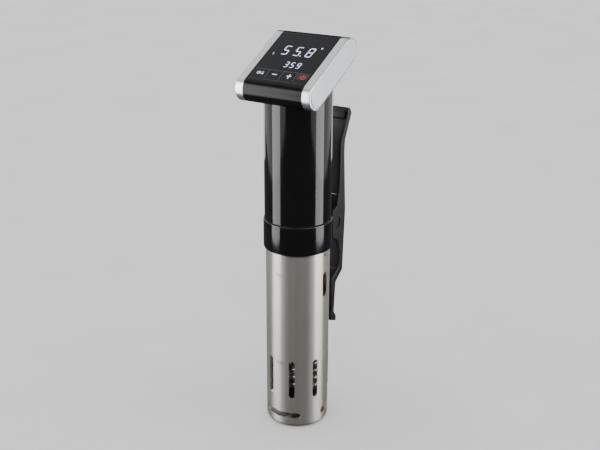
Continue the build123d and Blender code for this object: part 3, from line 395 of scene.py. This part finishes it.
def make_spring(material):
    """Double torsion spring: coils beside the tongue, short legs to the collar, a bridge behind the lever."""
    side = [Vector((SPRING_NEAR, SPRING_LEG_END, PIVOT_Z + SPRING_COIL_R)) * MM]
    for i in range(COIL_STEPS + 1):
        turn = 2 * math.pi * SPRING_TURNS * i / COIL_STEPS
        side.append(Vector((SPRING_NEAR + SPRING_PITCH * SPRING_TURNS * i / COIL_STEPS,
                            PIVOT_Y + SPRING_COIL_R * math.sin(turn),
                            PIVOT_Z + SPRING_COIL_R * math.cos(turn))) * MM)
    corner = Vector((side[-1].x / MM, *SPRING_BRIDGE)) * MM
    into = (corner - side[-1]).normalized()
    out = Vector((-1, 0, 0))
    start, end = corner - into * SPRING_BEND * MM, corner + out * SPRING_BEND * MM
    for i in range(BEND_STEPS + 1):
        t = i / BEND_STEPS
        side.append(start * (1 - t) ** 2 + corner * 2 * t * (1 - t) + end * t ** 2)
    mirrored = [Vector((-p.x, p.y, p.z)) for p in reversed(side)]
    wire = tube("spring_wire", side + mirrored, SPRING_WIRE_R * MM, material)
    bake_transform(wire)
    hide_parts("clamp_spring")


# ---------------------------------------------------------------- display
SEGMENTS = {"0": "abcdef", "1": "bc", "2": "abged", "3": "abgcd", "4": "fgbc",
            "5": "afgcd", "6": "afgedc", "7": "abc", "8": "abcdefg", "9": "abcdfg"}
BIG_DIGIT, SMALL_DIGIT = (6.0, 12.2, 0.95), (3.7, 7.3, 0.7)  # width, height and stroke, in mm
DIGIT_SLANT = 0.07
BIG_ROW, SMALL_ROW, KEY_ROW = 35.0, 19.1, 8.3
PRINT_LOW, PRINT_HIGH = 0.02, 0.06
KEY_LINE_WIDTH = 0.3


def digit_segments(digit, corner, size):
    """Outlines of the lit segments of a seven-segment digit, with mitred ends and small gaps."""
    (x, y), (width, height, stroke) = corner, size
    left, right = stroke / 2, width - stroke / 2
    levels = {"low": stroke / 2, "mid": height / 2, "high": height - stroke / 2}
    ends = {"a": ((left, "high"), (right, "high")), "b": ((right, "mid"), (right, "high")),
            "c": ((right, "low"), (right, "mid")), "d": ((left, "low"), (right, "low")),
            "e": ((left, "low"), (left, "mid")), "f": ((left, "mid"), (left, "high")),
            "g": ((left, "mid"), (right, "mid"))}
    gap = 0.12 * stroke
    outlines = []
    for name in SEGMENTS[digit]:
        (x0, level0), (x1, level1) = ends[name]
        start, end = Vector((x0, levels[level0])), Vector((x1, levels[level1]))
        along = (end - start).normalized()
        side = Vector((-along.y, along.x)) * stroke / 2
        tip0, tip1 = start + along * gap, end - along * gap
        shoulder0, shoulder1 = tip0 + along * stroke / 2, tip1 - along * stroke / 2
        ring = [tip0, shoulder0 - side, shoulder1 - side, tip1, shoulder1 + side, shoulder0 + side]
        outlines.append([(x + p.x + DIGIT_SLANT * p.y, y + p.y) for p in ring])
    return outlines


def light_material(name, color, strength, edge):
    """Back-lit print with a faint fine mottle in its glow."""
    s = Shader(name, color, 0.35)
    glow = s.noise(1500.0, (1, 1, 1), 2.0)
    s.tint(glow, mixed(color, -edge), color)
    mix = s.add("ShaderNodeMix", data_type="RGBA")
    mix.inputs["A"].default_value = (*mixed(color, -edge), 1.0)
    mix.inputs["B"].default_value = (*color, 1.0)
    s.links.new(s.spread(glow, 0.0, 1.0), mix.inputs["Factor"])
    s.links.new(mix.outputs["Result"], s.bsdf.inputs["Emission Color"])
    s.set(s.bsdf, "Emission Strength", strength)
    return s.material


def ink_and_glow_paint(name, color, roughness):
    """Screen-printed ink with slightly uneven cover; also the painted glow of the power key's red light."""
    s = Shader(name, color, roughness, 0.0, IOR=1.5)
    s.tint(s.noise(2200.0, (1, 1, 1), 2.0), mixed(color, -0.2), mixed(color, 0.1))
    s.polish(s.noise(900.0), roughness - 0.05, roughness + 0.08)
    return s.material


def make_display():
    """Lit digits and marks, and the printed key symbols, as thin plates on the glass; sizes in mm."""
    white = light_material("mat_display_white", (0.66, 0.70, 1.0), 1.1, 0.12)
    key_white = light_material("mat_key_white", (0.86, 0.87, 0.88), 0.55, 0.12)
    dim = light_material("mat_display_dim", (0.55, 0.57, 0.66), 0.3, 0.2)
    red = light_material("mat_display_red", (0.62, 0.035, 0.05), 0.22, 0.25)
    # Painted glow: a dark red colour that stands in for the power symbol's red light spilling onto the glass
    red_glow_paint = ink_and_glow_paint("mat_key_red", (0.055, 0.008, 0.011), 0.22)
    line = ink_and_glow_paint("mat_line_ink", (0.12, 0.125, 0.13), 0.4)
    low, high = PRINT_LOW, PRINT_HIGH

    big = []
    for digit, x in (("5", -15.4), ("5", -3.2), ("8", 9.0)):
        big += digit_segments(digit, (x, BIG_ROW), BIG_DIGIT)
    big.append(disc((5.0, 35.4), 0.6))
    small = []
    for digit, x in (("3", -3.6), ("5", 2.4), ("9", 8.6)):
        small += digit_segments(digit, (x, SMALL_ROW), SMALL_DIGIT)
    # Degree mark at the upper right, and a small thermometer at the left
    marks = arc_strokes((20.6, 48.3), 0.7, 0.5, 0, 360, 16)
    thermometer = [disc((-22.4, 34.4), 0.75), bar((-22.4, 34.4), (-22.4, 37.0), 0.5)]
    pieces = [printed("temperature_digits", big, on_glass, white, low, high),
              printed("time_digits", small, on_glass, white, low, high),
              printed("degree_mark", marks, on_glass, white, low, high),
              printed("thermometer_mark", thermometer, on_glass, dim, low, high)]

    # Key symbols: clock and thermometer, minus, plus, power
    row = KEY_ROW
    symbols = arc_strokes((-21.9, row), 1.5, 0.5, 0, 360, 24)
    symbols += [bar((-21.9, row), (-21.9, row + 1.0), 0.4), bar((-21.9, row), (-21.1, row), 0.4)]
    symbols += [bar((-19.8, row - 1.7), (-19.0, row + 1.7), 0.4)]
    symbols += [disc((-17.6, row - 1.1), 0.75, 16), bar((-17.6, row - 1.1), (-17.6, row + 1.8), 0.6)]
    symbols += [bar((-7.9, row), (-3.1, row), 0.9)]
    symbols += [bar((7.1, row), (11.3, row), 0.95), bar((9.2, row + 0.48), (9.2, row + 2.8), 0.95),
                bar((9.2, row - 2.8), (9.2, row - 0.48), 0.95)]
    pieces.append(printed("key_symbols", symbols, on_glass, key_white, low, high))
    power = arc_strokes((22.8, 9.0), 2.0, 0.7, 125, 415, 26) + [bar((22.8, 9.3), (22.8, 11.8), 0.7)]
    pieces.append(printed("power_symbol", power, on_glass, red, high, high + 0.03))
    # Painted glow: a dark red patch round the power symbol, in place of its light spilling onto the glass
    haze = [(17.4, 6.0), (27.4, 6.0), (27.4, 12.7), (17.4, 12.7)]
    pieces.append(printed("power_key_painted_glow", [haze], on_glass, red_glow_paint, low, high - 0.01))

    # Thin lines round the four keys
    lines = [bar((-27.6, 13.7), (27.6, 13.7), KEY_LINE_WIDTH)]
    lines += [bar((x, 2.6), (x, 13.4), KEY_LINE_WIDTH) for x in (-13.0, 1.4, 15.6)]
    pieces.append(printed("key_lines", lines, on_glass, line, low, high))
    for piece in pieces:
        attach(piece, "root")


# ---------------------------------------------------------------- marks etched into the sleeve
LETTER_STROKES = {
    "M": [((0, 0), (0, 4)), ((0, 4), (1.3, 1.4)), ((1.3, 1.4), (2.6, 4)), ((2.6, 4), (2.6, 0))],
    "A": [((0, 0), (1.25, 4)), ((1.25, 4), (2.5, 0)), ((0.5, 1.4), (2.0, 1.4))],
    "X": [((0, 0), (2.4, 4)), ((0, 4), (2.4, 0))],
    "I": [((0.3, 0), (0.3, 4))],
    "N": [((0, 0), (0, 4)), ((0, 4), (2.3, 0)), ((2.3, 0), (2.3, 4))]}
LETTER_WIDTH = {"M": 2.6, "A": 2.5, "X": 2.4, "I": 0.6, "N": 2.3}
LETTER_GAP, LETTER_STROKE = 0.9, 0.5
RULE_DROP, RULE_STEP, RULE_STROKE = 3.2, 0.5, 0.35


def make_level_marks():
    """Highest and lowest water level, etched matt into the steel."""
    s = Shader("mat_etched", (0.33, 0.325, 0.31), 0.55, 1.0)
    s.tint(s.noise(1800.0), (0.28, 0.275, 0.26), (0.38, 0.375, 0.36))
    s.bump(s.noise(3200.0), 0.01)
    for word, height in (("MAX", 158.8), ("MIN", 68.2)):
        total = sum(LETTER_WIDTH[c] for c in word) + LETTER_GAP * (len(word) - 1)
        x, outlines = -total / 2, []
        for letter in word:
            for (x0, y0), (x1, y1) in LETTER_STROKES[letter]:
                outlines.append(bar((x + x0, height - 2 + y0), (x + x1, height - 2 + y1), LETTER_STROKE))
            x += LETTER_WIDTH[letter] + LETTER_GAP
        rule = [(i * RULE_STEP - 5 * RULE_STEP, height - RULE_DROP) for i in range(11)]
        outlines += [bar(a, b, RULE_STROKE) for a, b in zip(rule, rule[1:])]
        marks = printed("level_mark_" + word.lower(), outlines, on_sleeve, s.material, 0.01, 0.03)
        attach(marks, "sleeve")


# ---------------------------------------------------------------- floor, lights and camera
CAMERA_AZIMUTH = math.radians(32.73)
CAMERA_DISTANCE, CAMERA_HEIGHT = 0.81185, 0.5021
CAMERA_PITCH, CAMERA_ROLL, CAMERA_PAN = math.radians(20.49), math.radians(0.27), math.radians(-0.14)
CAMERA_LENS, CAMERA_SENSOR = 56.02, 36.0
FLOOR_HALF, FLOOR_DROP = 60.0, 0.0002

# Radiance of the world, the four paired lights and the one above, then the strength of the floor's light
WORLD, CORE, PANEL, FILL, REAR, TOP, GROUND = 0.09, 4.7, 1.0, 3.3, 1.6, 0.8, 5.0
GROUND_SOFTNESS = math.radians(130)
# Paired lights: degrees from the camera's side, distance, height, aimed height, width and height, radiance
SIDE_LIGHTS = {"core": (77, 0.50, 0.33, 0.33, (0.29, 0.66), CORE),
               "panel": (91, 0.80, 0.36, 0.36, (1.84, 0.72), PANEL),
               "fill": (31, 0.95, 1.15, 0.20, (1.05, 0.50), FILL),
               "rear": (155, 0.90, 0.45, 0.45, (0.35, 0.90), REAR)}


def make_camera():
    """The photograph's viewing angle, on a full-frame lens."""
    data = bpy.data.cameras.new("camera")
    data.sensor_width = CAMERA_SENSOR
    data.lens = CAMERA_LENS
    camera = bpy.data.objects.new("camera", data)
    bpy.context.scene.collection.objects.link(camera)
    camera.location = (CAMERA_DISTANCE * math.sin(CAMERA_AZIMUTH),
                       -CAMERA_DISTANCE * math.cos(CAMERA_AZIMUTH), CAMERA_HEIGHT)
    turn = Matrix.Rotation(CAMERA_AZIMUTH + CAMERA_PAN, 4, "Z")
    tip = Matrix.Rotation(math.radians(90) - CAMERA_PITCH, 4, "X")
    roll = Matrix.Rotation(CAMERA_ROLL, 4, "Z")
    camera.rotation_euler = (turn @ tip @ roll).to_euler()
    bpy.context.scene.camera = camera


def make_floor():
    """Wide pale floor that the object's polished parts don't mirror, so that its blacks stay deep."""
    s = Shader("mat_floor", (0.66, 0.66, 0.66), 0.8)
    s.tint(s.noise(6.0), (0.64, 0.64, 0.64), (0.68, 0.68, 0.68))
    corners = [(x * FLOOR_HALF, y * FLOOR_HALF, 0) for x, y in ((-1, -1), (1, -1), (1, 1), (-1, 1))]
    floor = new_mesh("floor", corners, [(0, 1, 2, 3)], s.material)
    floor.location.z = -FLOOR_DROP
    floor.visible_glossy = False
    return floor


def soft_box(name, place, aim, size, radiance, lit):
    """A rectangular soft light at a place, aimed at a point, that lights the given objects."""
    data = bpy.data.lights.new(name, "AREA")
    data.shape = "RECTANGLE"
    data.size, data.size_y = size
    data.energy = radiance * math.pi * size[0] * size[1]
    light = bpy.data.objects.new(name, data)
    bpy.context.scene.collection.objects.link(light)
    light.location = place
    light.rotation_euler = (Vector(aim) - Vector(place)).to_track_quat("-Z", "Y").to_euler()
    light.visible_camera = False
    light.light_linking.receiver_collection = lit


def make_ground_light(ground):
    """A broad even light from above that falls only on the floor, and leaves a soft shadow there."""
    data = bpy.data.lights.new("ground_glow", "SUN")
    data.energy = GROUND
    data.angle = GROUND_SOFTNESS
    light = bpy.data.objects.new("ground_glow", data)
    bpy.context.scene.collection.objects.link(light)
    light.visible_glossy = False
    light.light_linking.receiver_collection = ground


def around(azimuth, distance, height):
    """Place at an azimuth counted in degrees from the camera's side, positive to the right."""
    angle = CAMERA_AZIMUTH + math.radians(azimuth)
    return (distance * math.sin(angle), -distance * math.cos(angle), height)


def make_lights(floor):
    """Tall lights at both sides draw the bright bands, with fills in front, rears behind and one above."""
    world = bpy.data.worlds.new("studio")
    world.use_nodes = True
    world.node_tree.nodes["Background"].inputs["Color"].default_value = (0.95, 0.97, 1.0, 1)
    world.node_tree.nodes["Background"].inputs["Strength"].default_value = WORLD
    bpy.context.scene.world = world

    ground, object_parts = bpy.data.collections.new("lit_ground"), bpy.data.collections.new("lit_object")
    ground.objects.link(floor)
    for piece in bpy.context.scene.objects:
        if piece.type == "MESH" and piece is not floor:
            object_parts.objects.link(piece)

    for side, word in ((-1, "left"), (1, "right")):
        for name, (azimuth, distance, height, aim, size, radiance) in SIDE_LIGHTS.items():
            soft_box(word + "_" + name, around(side * azimuth, distance, height), (0, 0, aim), size, radiance,
                     object_parts)
    soft_box("top", (-0.50, 0.12, 1.20), (0, 0, 0.345), (1.0, 1.0), TOP, object_parts)
    make_ground_light(ground)


materials = finish_cad_nodes()
make_spring(materials["spring_steel"])
make_display()
make_level_marks()
make_camera()
make_lights(make_floor())
